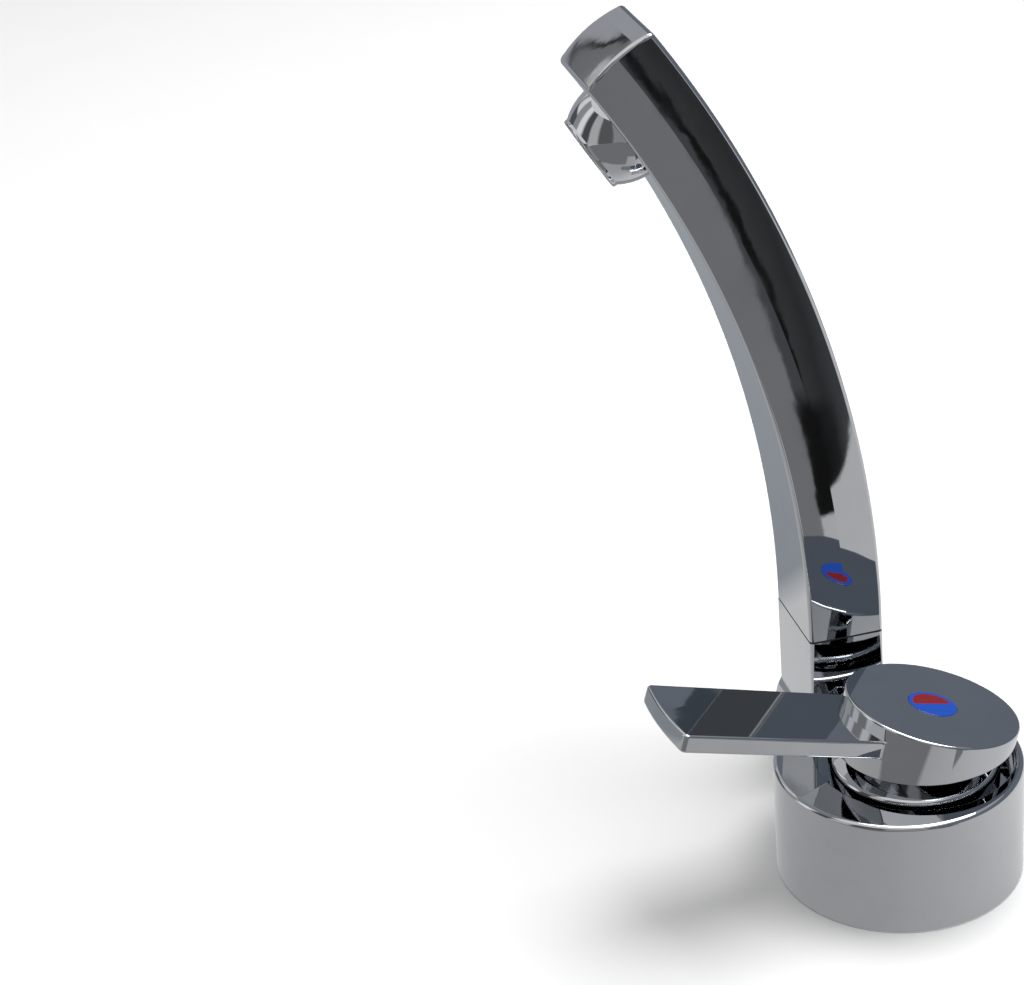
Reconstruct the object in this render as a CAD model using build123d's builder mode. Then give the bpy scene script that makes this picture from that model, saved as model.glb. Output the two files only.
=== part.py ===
"""Fold-down single-lever mixer tap for a caravan or boat sink, in millimetres.

The frame has its origin on the axis of the round base, where the base stands on the worktop.
+Z is up, +X runs along the fold pivot from the base to the spout, and +Y is the way the spout
reaches and the lever points.
"""
import os
from math import atan2, cos, degrees, radians, sin, sqrt

from build123d import *

# Fits
press_gap = 0.05
running_gap = 0.05
loose_gap = 0.1
insert_gap = 0.3

# Round base
base_radius = 25.0
base_height = 25.0
base_edge_round = 1.2
well_back = 3.6
well_wall = 1.4
well_depth = 5.8
well_edge_round = 0.5

# Fold pivot, a barrel along X that turns in the base
pivot_drop = 13.4
barrel_radius = 9.5
barrel_seat = 22.0
spigot_radius = 6.5
spigot_end = 15.2
water_bore = 3.5
oring_section = 1.5
oring_squeeze_depth = 1.2
oring_first = 15.8
oring_pitch = 1.8
lock_groove_start = 19.7
lock_groove_width = 1.4
lock_groove_depth = 1.0

# Lock screw that enters the spigot groove from under the base
lock_screw_radius = 1.25
lock_tip_radius = 0.6
lock_screw_recess = 0.4
lock_tip_gap = 0.2
lock_tip_length = 1.5
lock_socket_radius = 0.6
lock_socket_depth = 1.2

# Knuckle and spout, which share one section
spout_left = 28.7
spout_width = 21.8
spout_depth = 16.0
spout_side_crown = 0.06
spout_corner_round = 0.8
knuckle_rise = 25.0
knuckle_fillet = 1.6
knuckle_riser_bore = 4.0
gasket_thickness = 0.4
gasket_inset = 0.25
spout_arc_radius = 229.0
spout_arc_angle = 34.6
spout_wall = 2.0
spout_end_wall = 2.5
spout_end_crown = 1.2

# Screws that run up beside the water passage and hold the spout on the knuckle
tie_screw_radius = 1.5
tie_side_offset = 6.5
tie_depth_offset = 5.4
tie_head_radius = 2.3
tie_head_height = 2.0
tie_head_seat = 6.2
tie_socket_radius = 1.2
tie_socket_depth = 1.2
tie_boss_radius = 2.4
tie_boss_height = 8.0
tie_screw_grip = 6.0

# Water tube inside the spout
tube_radius = 5.0
tube_bore = 3.5
tube_socket_depth = 5.0
tube_stop = 6.6

# Outlet elbow and aerator at the spout's end
outlet_angle = 30.8
elbow_width = 15.0
elbow_behind = 12.0
elbow_ahead = 7.5
outlet_bore = 4.0
aerator_neck_radius = 6.0
aerator_neck_bore = 4.2
aerator_neck_length = 5.2
aerator_seat_depth = 0.1
aerator_hole_gap = 0.2
aerator_face_radius = 10.0
aerator_rim_radius = 7.8
aerator_waist_radius = 9.2
aerator_height = 7.0
aerator_rim_lip = 0.9
aerator_cup_radius = 6.6
aerator_cup_floor = 1.6
aerator_seal_thickness = 0.8
aerator_seal_width = 1.6
aerator_insert_height = 3.2
aerator_hole_radius = 0.55
aerator_hole_pitch = 1.9
aerator_hole_rows = 5

# Mixing cartridge, on the axis of the well
cartridge_depth = 19.0
inlet_floor_thickness = 1.5
cartridge_radius = 12.4
cartridge_roof = 1.7
cartridge_neck_radius = 10.2
cartridge_neck_height = 3.1
chamber_radius = 10.9
neck_bore = 8.7
port_plate_thickness = 2.3
fixed_disc_thickness = 2.3
fixed_disc_radius = 10.5
moving_disc_thickness = 2.4
moving_disc_radius = 8.8
disc_slip = 0.02
mixing_slot_length = 12.0
mixing_slot_width = 4.0
mixing_slot_depth = 1.2
carrier_thickness = 3.1
carrier_rim = 7.6
side_port_radius = 3.2

# Water inlets
inlet_spacing = 10.0
inlet_row = -2.0
inlet_thread_radius = 3.46
inlet_passage_radius = 2.8
inlet_oring_radius = 3.9
inlet_oring_section = 1.0
inlet_oring_squeezed = 0.9

# Turret, stem and pin inside the cartridge
turret_flange_radius = 10.7
turret_flange_thickness = 2.1
turret_neck_height = 4.6
turret_slot_length = 12.0
stem_pivot_rise = 1.9
stem_width = 7.0
stem_top = 10.0
stem_shoulder = 3.0
stem_neck_radius = 1.5
stem_ball_drop = 4.6
stem_ball_radius = 1.8
pin_radius = 1.2
pin_length = 16.0

# Cartridge nut and the bright ring that covers it
nut_radius = 14.4
nut_thread_length = 3.7
nut_flange_height = 2.7
nut_flange_bore = 10.4
nut_flats = 26.0
cover_radius = 17.0
cover_wall = 1.4
cover_wall_height = 5.1
cover_dome_height = 2.3
cover_hole_radius = 11.4

# Lever
lever_yaw = 5.2
lever_tilt = 15.4
lever_disc_radius = 17.7
lever_disc_top = 15.5
lever_skirt_gap = 1.9
lever_skirt_wall = 1.5
lever_top_wall = 3.0
lever_edge_round = 0.5
lever_boss_radius = 6.6
lever_boss_bottom = 7.4
blade_tip_reach = 58.9
blade_tip_width = 20.6
blade_root_width = 19.6
blade_rise = 2.6
blade_drop = 3.73
blade_thickness = 3.8
blade_tip_round = 0.9
blade_edge_round = 0.55
blade_sharp_root = 3.5

# Lever screw and the hot and cold button above it
screw_radius = 2.0
screw_head_radius = 3.4
screw_head_height = 2.6
screw_length = 8.0
screw_socket_radius = 1.5
screw_socket_depth = 1.6
button_radius = 5.0
button_recess = 1.2
button_proud = 0.12
button_round = 0.15
hot_mark_radius = 4.1
hot_mark_depth = 0.5

# Shank and what clamps the tap to the worktop
shank_radius = 13.0
shank_bore = 10.2
shank_length = 42.0
shank_block = 6.0
deck_seal_inner = 14.4
deck_seal_outer = 16.9
deck_seal_height = 2.0
worktop_thickness = 20.0
washer_outer = 22.0
washer_inner_gap = 0.3
rubber_washer_height = 3.0
steel_washer_height = 1.5
shank_nut_flats = 36.0
shank_nut_height = 9.0
shank_nut_chamfer = 0.8

os.makedirs("parts", exist_ok=True)

# Heights inside the base, counted down from its rim
pivot_height = base_height - pivot_drop
knuckle_top = pivot_height + knuckle_rise
well_radius = base_radius - well_back - well_wall
well_floor = base_height - well_depth
cartridge_floor = base_height - cartridge_depth
shank_recess = cartridge_floor - inlet_floor_thickness
port_plate_top = cartridge_floor + port_plate_thickness
fixed_disc_top = port_plate_top + fixed_disc_thickness
moving_disc_top = fixed_disc_top + moving_disc_thickness
carrier_top = moving_disc_top + carrier_thickness
turret_flange_bottom = carrier_top + insert_gap
turret_flange_top = turret_flange_bottom + turret_flange_thickness
turret_top = turret_flange_top + turret_neck_height
stem_pivot_height = turret_flange_top + stem_pivot_rise
chamber_top = turret_flange_top + loose_gap
cartridge_shoulder = chamber_top + cartridge_roof
cartridge_neck_top = cartridge_shoulder + cartridge_neck_height
nut_thread_bottom = cartridge_shoulder - nut_thread_length
nut_top = cartridge_shoulder + nut_flange_height
cover_shoulder = well_floor + cover_wall_height
cover_top = cover_shoulder + cover_dome_height
lever_skirt_bottom = cover_top + lever_skirt_gap

well_axis = Axis((0, -well_back, 0), (0, 0, 1))
spout_mid = spout_left + spout_width / 2
spout_foot = knuckle_top + gasket_thickness
arc_axis = Axis((0, spout_arc_radius, spout_foot), (-1, 0, 0))


def well_plane(height):
    """A level plane whose origin is on the axis of the well and the cartridge."""
    return Plane(origin=(0, -well_back, height))


def pivot_plane(x):
    """A plane across the fold pivot at x, facing away from the base."""
    return Plane(origin=(x, 0, pivot_height), x_dir=(0, 1, 0), z_dir=(1, 0, 0))


def arc_point(radius, turn):
    """The y and z of a point this far from the centre of the spout's arc."""
    return (spout_arc_radius - radius * cos(turn), spout_foot + radius * sin(turn))


def across_spout(turn):
    """A plane square to the spout's centre line, with its y towards the arc's centre."""
    y, z = arc_point(spout_arc_radius, turn)
    return Plane(origin=(spout_mid, y, z), x_dir=(1, 0, 0), z_dir=(0, sin(turn), cos(turn)))


def facing_inward(turn):
    """A plane on the spout's centre line, with its z out through the spout's inner face."""
    y, z = arc_point(spout_arc_radius, turn)
    return Plane(origin=(spout_mid, y, z), x_dir=(-1, 0, 0), z_dir=(0, cos(turn), -sin(turn)))


def save(piece, name):
    """Label one finished piece and write it to its own file."""
    piece.label = name
    export_step(piece, f"parts/{name}.step")
    print(name, len(piece.solids()), round(piece.volume, 1))


# The lever's own plane: origin on the stem pivot, y along the lever, z through the disc
yaw = radians(lever_yaw)
tilt = radians(lever_tilt)
lever_side = Vector(cos(yaw), sin(yaw), 0)
lever_heading = Vector(-sin(yaw), cos(yaw), 0)
lever_up = lever_heading * -sin(tilt) + Vector(0, 0, cos(tilt))
stem_pivot = Vector(0, -well_back, stem_pivot_height)
lever_plane = Plane(origin=stem_pivot, x_dir=lever_side, z_dir=lever_up)
turret_plane = Plane(origin=stem_pivot, x_dir=lever_side, z_dir=(0, 0, 1))

# Base body
shank_hole = shank_radius + press_gap
cavity_radius = cartridge_radius + loose_gap
lock_x = lock_groove_start + lock_groove_width / 2
lock_groove_floor = spigot_radius - lock_groove_depth
inlets = [(-inlet_spacing / 2, inlet_row), (inlet_spacing / 2, inlet_row)]

with BuildPart() as base_body:
    with BuildSketch(Plane.XY):
        Circle(base_radius)
    extrude(amount=base_height)
    fillet(base_body.edges().group_by(Axis.Z)[-1], base_edge_round)
    with BuildSketch(well_plane(well_floor)):
        Circle(well_radius)
    extrude(amount=base_height, mode=Mode.SUBTRACT)
    rim = base_body.faces().filter_by(Axis.Z).sort_by(Axis.Z)[-1]
    fillet(rim.inner_wires()[0].edges(), well_edge_round)
    with BuildSketch(well_plane(nut_thread_bottom)):
        Circle(nut_radius + loose_gap)
    extrude(amount=base_height, mode=Mode.SUBTRACT)
    with BuildSketch(well_plane(cartridge_floor)):
        Circle(cavity_radius)
    extrude(amount=base_height, mode=Mode.SUBTRACT)
    with BuildSketch(pivot_plane(barrel_seat)):
        Circle(barrel_radius + running_gap)
    extrude(amount=base_radius, mode=Mode.SUBTRACT)
    with BuildSketch(pivot_plane(spigot_end - press_gap)):
        Circle(spigot_radius + running_gap)
    extrude(amount=base_radius, mode=Mode.SUBTRACT)
    with BuildSketch(pivot_plane(0)):
        Circle(side_port_radius)
    extrude(amount=barrel_seat, mode=Mode.SUBTRACT)
    with BuildSketch(Plane.XY):
        Circle(shank_hole)
    extrude(amount=shank_recess, mode=Mode.SUBTRACT)
    with BuildSketch(Plane.XY):
        with Locations(*inlets):
            Circle(inlet_passage_radius)
    extrude(amount=cartridge_floor, mode=Mode.SUBTRACT)
    with BuildSketch(Plane.XY):
        Circle(deck_seal_outer + press_gap)
        Circle(deck_seal_inner - press_gap, mode=Mode.SUBTRACT)
    extrude(amount=deck_seal_height, mode=Mode.SUBTRACT)
    with BuildSketch(Plane.XY):
        with Locations((lock_x, 0)):
            Circle(lock_screw_radius + press_gap)
    extrude(amount=pivot_height - spigot_radius, mode=Mode.SUBTRACT)
save(base_body.part, "base_body")

with BuildPart() as deck_seal:
    with BuildSketch(Plane.XY):
        Circle(deck_seal_outer)
        Circle(deck_seal_inner, mode=Mode.SUBTRACT)
    extrude(amount=deck_seal_height)
save(deck_seal.part, "deck_seal")

# Lock screw with a plain tip in the spigot's groove
lock_tip_top = pivot_height - lock_groove_floor - lock_tip_gap
with BuildPart() as lock_screw:
    with BuildSketch(Plane.XY.offset(lock_screw_recess)):
        with Locations((lock_x, 0)):
            Circle(lock_screw_radius)
    extrude(amount=lock_tip_top - lock_tip_length - lock_screw_recess)
    with BuildSketch(Plane.XY.offset(lock_tip_top - lock_tip_length)):
        with Locations((lock_x, 0)):
            Circle(lock_tip_radius)
    extrude(amount=lock_tip_length)
    with BuildSketch(Plane.XY.offset(lock_screw_recess)):
        with Locations((lock_x, 0)):
            RegularPolygon(lock_socket_radius, 6)
    extrude(amount=lock_socket_depth, mode=Mode.SUBTRACT)
save(lock_screw.part, "lock_screw")

# Threaded shank with the two inlet holes in its solid head
shank_top = shank_recess - press_gap
oring_inner = inlet_oring_radius - inlet_oring_section
with BuildPart() as mounting_shank:
    with BuildSketch(Plane.XY.offset(-shank_length)):
        Circle(shank_radius)
    extrude(amount=shank_length + shank_top)
    chamfer(mounting_shank.edges().group_by(Axis.Z)[0], shank_nut_chamfer)
    with BuildSketch(Plane.XY.offset(-shank_length)):
        Circle(shank_bore)
    extrude(amount=shank_length - shank_block, mode=Mode.SUBTRACT)
    with BuildSketch(Plane.XY.offset(-shank_block)):
        with Locations(*inlets):
            Circle(inlet_thread_radius)
    extrude(amount=shank_block + shank_top, mode=Mode.SUBTRACT)
    with BuildSketch(Plane.XY.offset(shank_top - inlet_oring_squeezed)):
        with Locations(*inlets):
            Circle(inlet_oring_radius + press_gap)
    extrude(amount=inlet_oring_squeezed, mode=Mode.SUBTRACT)
save(mounting_shank.part, "mounting_shank")

with BuildPart() as shank_seals:
    with BuildSketch(Plane.XY.offset(shank_top - inlet_oring_squeezed)):
        with Locations(*inlets):
            Circle(inlet_oring_radius)
            Circle(oring_inner, mode=Mode.SUBTRACT)
    extrude(amount=inlet_oring_squeezed)
save(shank_seals.part, "shank_seals")

# Washers and nut under the worktop
rubber_washer_bottom = -worktop_thickness - rubber_washer_height
steel_washer_bottom = rubber_washer_bottom - steel_washer_height
shank_nut_bottom = steel_washer_bottom - shank_nut_height

with BuildPart() as rubber_washer:
    with BuildSketch(Plane.XY.offset(rubber_washer_bottom)):
        Circle(washer_outer)
        Circle(shank_radius + washer_inner_gap, mode=Mode.SUBTRACT)
    extrude(amount=rubber_washer_height)
save(rubber_washer.part, "rubber_washer")

with BuildPart() as steel_washer:
    with BuildSketch(Plane.XY.offset(steel_washer_bottom)):
        Circle(washer_outer)
        Circle(shank_radius + washer_inner_gap, mode=Mode.SUBTRACT)
    extrude(amount=steel_washer_height)
save(steel_washer.part, "steel_washer")

with BuildPart() as shank_nut:
    with BuildSketch(Plane.XY.offset(shank_nut_bottom)):
        RegularPolygon(shank_nut_flats / 2, 6, major_radius=False)
        Circle(shank_radius + press_gap, mode=Mode.SUBTRACT)
    extrude(amount=shank_nut_height)
    nut_rim = shank_nut.edges().filter_by(GeomType.LINE).group_by(Axis.Z)
    chamfer(nut_rim[0] + nut_rim[-1], shank_nut_chamfer / 2)
save(shank_nut.part, "shank_nut")

# Cartridge: housing, port plate, seals and ceramic discs
with BuildPart() as cartridge_housing:
    with BuildSketch(well_plane(port_plate_top)):
        Circle(cartridge_radius)
    extrude(amount=cartridge_shoulder - port_plate_top)
    with BuildSketch(well_plane(cartridge_shoulder)):
        Circle(cartridge_neck_radius)
    extrude(amount=cartridge_neck_top - cartridge_shoulder)
    with BuildSketch(well_plane(port_plate_top)):
        Circle(chamber_radius)
    extrude(amount=chamber_top - port_plate_top, mode=Mode.SUBTRACT)
    with BuildSketch(well_plane(chamber_top)):
        Circle(neck_bore)
    extrude(amount=cartridge_neck_top - chamber_top, mode=Mode.SUBTRACT)
    with BuildSketch(pivot_plane(0)):
        Circle(side_port_radius)
    extrude(amount=cartridge_radius + well_back, mode=Mode.SUBTRACT)
save(cartridge_housing.part, "cartridge_housing")

with BuildPart() as port_plate:
    with BuildSketch(well_plane(cartridge_floor)):
        Circle(cartridge_radius)
    extrude(amount=port_plate_top - cartridge_floor)
    with BuildSketch(Plane.XY.offset(cartridge_floor)):
        with Locations(*inlets):
            Circle(inlet_passage_radius)
    extrude(amount=port_plate_top, mode=Mode.SUBTRACT)
    with BuildSketch(Plane.XY.offset(cartridge_floor)):
        with Locations(*inlets):
            Circle(inlet_oring_radius + press_gap)
    extrude(amount=inlet_oring_squeezed, mode=Mode.SUBTRACT)
save(port_plate.part, "port_plate")

with BuildPart() as port_seals:
    with BuildSketch(Plane.XY.offset(cartridge_floor)):
        with Locations(*inlets):
            Circle(inlet_oring_radius)
            Circle(oring_inner, mode=Mode.SUBTRACT)
    extrude(amount=inlet_oring_squeezed)
save(port_seals.part, "port_seals")

with BuildPart() as fixed_disc:
    with BuildSketch(well_plane(port_plate_top)):
        Circle(fixed_disc_radius)
    extrude(amount=fixed_disc_top - port_plate_top)
    with BuildSketch(Plane.XY.offset(port_plate_top)):
        with Locations(*inlets):
            Circle(inlet_passage_radius)
    extrude(amount=port_plate_top, mode=Mode.SUBTRACT)
save(fixed_disc.part, "fixed_disc")

with BuildPart() as moving_disc:
    with BuildSketch(well_plane(fixed_disc_top + disc_slip)):
        Circle(moving_disc_radius)
    extrude(amount=moving_disc_top - fixed_disc_top - disc_slip)
    with BuildSketch(turret_plane.offset(fixed_disc_top - stem_pivot_height)):
        SlotOverall(mixing_slot_length, mixing_slot_width)
    extrude(amount=mixing_slot_depth, mode=Mode.SUBTRACT)
save(moving_disc.part, "moving_disc")

# The carrier is driven by the stem's ball end, which stands in front of the pivot at rest
ball_forward = stem_ball_drop * sin(tilt)
ball_height = stem_pivot_height - stem_ball_drop * cos(tilt)
ball_pocket_floor = ball_height - stem_ball_radius - insert_gap
ball_spot = stem_pivot + lever_heading * ball_forward
with BuildPart() as disc_carrier:
    with BuildSketch(well_plane(moving_disc_top)):
        Circle(carrier_rim)
    extrude(amount=carrier_top - moving_disc_top)
    with BuildSketch(Plane(origin=(ball_spot.X, ball_spot.Y, ball_pocket_floor))):
        Circle(stem_ball_radius + loose_gap)
    extrude(amount=carrier_top, mode=Mode.SUBTRACT)
save(disc_carrier.part, "disc_carrier")

with BuildPart() as turret:
    with BuildSketch(well_plane(turret_flange_bottom)):
        Circle(turret_flange_radius)
    extrude(amount=turret_flange_top - turret_flange_bottom)
    with BuildSketch(well_plane(turret_flange_top)):
        Circle(neck_bore - running_gap)
    extrude(amount=turret_top - turret_flange_top)
    with BuildSketch(turret_plane):
        Rectangle(stem_width + 2 * loose_gap, turret_slot_length)
    extrude(amount=turret_top, both=True, mode=Mode.SUBTRACT)
    with BuildSketch(Plane(origin=stem_pivot, x_dir=(0, 0, 1), z_dir=lever_side)):
        Circle(pin_radius)
    extrude(amount=pin_length, both=True, mode=Mode.SUBTRACT)
save(turret.part, "turret")

with BuildPart() as stem_pin:
    with BuildSketch(Plane(origin=stem_pivot, x_dir=(0, 0, 1), z_dir=lever_side)):
        Circle(pin_radius)
    extrude(amount=pin_length / 2, both=True)
save(stem_pin.part, "stem_pin")

with BuildPart() as lever_stem:
    with BuildSketch(lever_plane.offset(-stem_shoulder)):
        Rectangle(stem_width, stem_width)
    extrude(amount=stem_top + stem_shoulder)
    with BuildSketch(lever_plane.offset(-stem_ball_drop)):
        Circle(stem_neck_radius)
    extrude(amount=stem_ball_drop)
    with Locations(lever_plane.offset(-stem_ball_drop).location):
        Sphere(stem_ball_radius)
    with BuildSketch(Plane(origin=stem_pivot, x_dir=(0, 0, 1), z_dir=lever_side)):
        Circle(pin_radius + running_gap)
    extrude(amount=stem_width, both=True, mode=Mode.SUBTRACT)
    with BuildSketch(lever_plane.offset(stem_top)):
        Circle(screw_radius + press_gap)
    extrude(amount=-screw_length + screw_head_height, mode=Mode.SUBTRACT)
save(lever_stem.part, "lever_stem")

# Nut that holds the cartridge down, with two flats for a spanner
nut_flange_bottom = cartridge_shoulder
with BuildPart() as cartridge_nut:
    with BuildSketch(well_plane(nut_thread_bottom + loose_gap)):
        Circle(nut_radius)
    extrude(amount=nut_flange_bottom - nut_thread_bottom - loose_gap)
    with BuildSketch(well_plane(nut_flange_bottom)):
        RegularPolygon(nut_flats / 2, 6, major_radius=False)
        Circle(nut_radius, mode=Mode.INTERSECT)
    extrude(amount=nut_top - nut_flange_bottom)
    with BuildSketch(well_plane(nut_thread_bottom)):
        Circle(cavity_radius + loose_gap)
    extrude(amount=nut_flange_bottom - nut_thread_bottom, mode=Mode.SUBTRACT)
    with BuildSketch(well_plane(nut_flange_bottom)):
        Circle(nut_flange_bore)
    extrude(amount=nut_top, mode=Mode.SUBTRACT)
save(cartridge_nut.part, "cartridge_nut")

# Bright cover ring: a straight wall, a sloping shoulder and a hole for the lever's boss
with BuildPart() as cover_ring:
    with BuildSketch(Plane(origin=(0, -well_back, 0), x_dir=(1, 0, 0), z_dir=(0, -1, 0))):
        with BuildLine():
            Polyline(
                (cover_radius - cover_wall, well_floor),
                (cover_radius, well_floor),
                (cover_radius, cover_shoulder),
                (cover_hole_radius, cover_top),
                (cover_hole_radius, cover_top - cover_wall),
                (cover_radius - cover_wall, cover_shoulder - cover_wall / 2),
                close=True,
            )
        make_face()
    revolve(axis=well_axis)
    fillet(cover_ring.edges().filter_by_position(Axis.Z, cover_shoulder, cover_shoulder), cover_wall)
save(cover_ring.part, "cover_ring")


# Lever: a disc-topped head cut level above the base, with a flat blade
skirt_inner = lever_disc_radius - lever_skirt_wall
blade_angle = radians(blade_rise)
blade_along = lever_plane.y_dir * cos(blade_angle) + lever_up * sin(blade_angle)
blade_up = lever_side.cross(blade_along)
blade_origin = stem_pivot + lever_up * (lever_disc_top - blade_drop)
blade_plane = Plane(origin=blade_origin, x_dir=lever_side, z_dir=blade_up)
blade_tip = blade_tip_reach / cos(blade_angle)
tip_corner = sqrt(blade_tip**2 - (blade_tip_width / 2) ** 2)
button_floor = lever_disc_top - button_recess
counterbore_floor = button_floor - screw_head_height - loose_gap
lever_floor = lever_disc_top - lever_top_wall
blade_edge_start = lever_disc_radius + blade_sharp_root


def is_blade_edge(edge):
    """Whether an edge lies on the blade, clear of the head."""
    return (edge @ 0.5 - stem_pivot).dot(lever_plane.y_dir) > blade_edge_start


with BuildPart() as lever:
    with BuildSketch(lever_plane):
        Circle(lever_disc_radius)
    extrude(amount=lever_disc_top)
    split(bisect_by=Plane.XY.offset(lever_skirt_bottom), keep=Keep.TOP)
    with BuildSketch(blade_plane):
        with BuildLine():
            Line((-blade_root_width / 2, 0), (blade_root_width / 2, 0))
            Line((blade_root_width / 2, 0), (blade_tip_width / 2, tip_corner))
            ThreePointArc(
                (blade_tip_width / 2, tip_corner), (0, blade_tip), (-blade_tip_width / 2, tip_corner)
            )
            Line((-blade_tip_width / 2, tip_corner), (-blade_root_width / 2, 0))
        make_face()
    extrude(amount=-blade_thickness)
    along = Axis(blade_origin, blade_along)
    tip_edges = lever.edges().sort_by(along)[-4:]
    corner_edges = tip_edges.filter_by(GeomType.LINE)
    fillet(corner_edges, blade_tip_round)
    blade_edges = lever.edges().filter_by(is_blade_edge)
    fillet(blade_edges, blade_edge_round)
    disc_edge = lever.edges().filter_by(GeomType.CIRCLE).filter_by(lambda e: e.is_closed)
    fillet(disc_edge, lever_edge_round)
    with BuildSketch(lever_plane):
        Circle(skirt_inner)
    extrude(amount=lever_floor, mode=Mode.SUBTRACT)
    with BuildSketch(lever_plane.offset(lever_boss_bottom)):
        Circle(lever_boss_radius)
    extrude(amount=lever_floor - lever_boss_bottom)
    with BuildSketch(lever_plane.offset(lever_boss_bottom)):
        Rectangle(stem_width + 2 * press_gap, stem_width + 2 * press_gap)
    extrude(amount=stem_top + press_gap - lever_boss_bottom, mode=Mode.SUBTRACT)
    with BuildSketch(lever_plane.offset(stem_top)):
        Circle(screw_radius + loose_gap)
    extrude(amount=lever_disc_top, mode=Mode.SUBTRACT)
    with BuildSketch(lever_plane.offset(counterbore_floor)):
        Circle(screw_head_radius + loose_gap)
    extrude(amount=lever_disc_top, mode=Mode.SUBTRACT)
    with BuildSketch(lever_plane.offset(button_floor)):
        Circle(button_radius + press_gap)
    extrude(amount=lever_disc_top, mode=Mode.SUBTRACT)
save(lever.part, "lever")

with BuildPart() as lever_screw:
    with BuildSketch(lever_plane.offset(counterbore_floor)):
        Circle(screw_head_radius)
    extrude(amount=screw_head_height)
    with BuildSketch(lever_plane.offset(counterbore_floor)):
        Circle(screw_radius)
    extrude(amount=-screw_length + screw_head_height + loose_gap)
    with BuildSketch(lever_plane.offset(counterbore_floor + screw_head_height)):
        RegularPolygon(screw_socket_radius, 6)
    extrude(amount=-screw_socket_depth, mode=Mode.SUBTRACT)
save(lever_screw.part, "lever_screw")

# Button in the disc, blue with a red mark on the hot side
button_top = lever_disc_top + button_proud
with BuildPart() as cold_button:
    with BuildSketch(lever_plane.offset(button_floor)):
        Circle(button_radius)
    extrude(amount=button_top - button_floor)
    fillet(cold_button.edges().sort_by(Axis(stem_pivot, lever_up))[-1], button_round)
    with BuildSketch(lever_plane.offset(button_top - hot_mark_depth)):
        Circle(hot_mark_radius)
        with Locations((-hot_mark_radius, 0)):
            Rectangle(2 * hot_mark_radius, 2 * hot_mark_radius, mode=Mode.SUBTRACT)
    extrude(amount=hot_mark_depth, mode=Mode.SUBTRACT)
save(cold_button.part, "cold_button")

with BuildPart() as hot_mark:
    with BuildSketch(lever_plane.offset(button_top - hot_mark_depth)):
        Circle(hot_mark_radius)
        with Locations((-hot_mark_radius, 0)):
            Rectangle(2 * hot_mark_radius, 2 * hot_mark_radius, mode=Mode.SUBTRACT)
    extrude(amount=hot_mark_depth)
save(hot_mark.part, "hot_mark")


def spout_section(inset=0.0, corner_round=spout_corner_round):
    """The slightly crowned section of the spout, smaller all round by the inset."""
    half_width = spout_width / 2 - inset
    half_depth = spout_depth / 2 - inset
    with BuildSketch() as section:
        Polygon(
            (-half_width, -half_depth),
            (half_width, -half_depth),
            (half_width + spout_side_crown, 0),
            (half_width, half_depth),
            (-half_width, half_depth),
            (-half_width - spout_side_crown, 0),
            align=None,
        )
        if corner_round > inset:
            corners = section.vertices().group_by(Axis.Y)
            fillet(corners[0] + corners[-1], corner_round - inset)
    return section.sketch


# Knuckle: barrel, spigot and the foot of the spout in one casting
barrel_end = spout_left + spout_width
tie_screws = [
    (spout_mid - tie_side_offset, -tie_depth_offset),
    (spout_mid + tie_side_offset, tie_depth_offset),
]
with BuildPart() as knuckle:
    with BuildSketch(pivot_plane(spout_left)) as side_view:
        Circle(barrel_radius)
        with Locations((0, knuckle_rise / 2)):
            Rectangle(spout_depth, knuckle_rise)
        inner_corners = side_view.vertices().filter_by_position(Axis.Y, 0, knuckle_rise, (False, False))
        fillet(inner_corners, knuckle_fillet)
    extrude(amount=spout_width)
    outer_rim = knuckle.faces().sort_by(Axis.X)[-1].edges()
    inner_rim = knuckle.faces().sort_by(Axis.X)[0].edges()
    top_ends = knuckle.edges().group_by(Axis.Z)[-1]
    fillet(outer_rim - top_ends, spout_corner_round)
    fillet(inner_rim.filter_by(GeomType.LINE) - top_ends, spout_corner_round)
    with BuildSketch(pivot_plane(barrel_seat + loose_gap)):
        Circle(barrel_radius)
    extrude(amount=spout_left - barrel_seat - loose_gap)
    with BuildSketch(pivot_plane(spigot_end)):
        Circle(spigot_radius)
    extrude(amount=barrel_seat + loose_gap - spigot_end)
    for start in (oring_first, oring_first + oring_pitch):
        with BuildSketch(pivot_plane(start)):
            Circle(spigot_radius)
            Circle(spigot_radius - oring_squeeze_depth, mode=Mode.SUBTRACT)
        extrude(amount=oring_section, mode=Mode.SUBTRACT)
    with BuildSketch(pivot_plane(lock_groove_start)):
        Circle(spigot_radius)
        Circle(lock_groove_floor, mode=Mode.SUBTRACT)
    extrude(amount=lock_groove_width, mode=Mode.SUBTRACT)
    with BuildSketch(pivot_plane(spigot_end)):
        Circle(water_bore)
    extrude(amount=spout_mid - spigot_end, mode=Mode.SUBTRACT)
    with BuildSketch(Plane.XY.offset(pivot_height)):
        with Locations((spout_mid, 0)):
            Circle(knuckle_riser_bore)
    extrude(amount=knuckle_top, mode=Mode.SUBTRACT)
    with BuildSketch(Plane.XY.offset(knuckle_top - tube_socket_depth)):
        with Locations((spout_mid, 0)):
            Circle(tube_radius + press_gap)
    extrude(amount=knuckle_top, mode=Mode.SUBTRACT)
    with BuildSketch(Plane.XY):
        with Locations(*tie_screws):
            Circle(tie_screw_radius + loose_gap)
    extrude(amount=knuckle_top, mode=Mode.SUBTRACT)
    with BuildSketch(Plane.XY):
        with Locations(*tie_screws):
            Circle(tie_head_radius + loose_gap)
    extrude(amount=tie_head_seat, mode=Mode.SUBTRACT)
save(knuckle.part, "knuckle")

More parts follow.
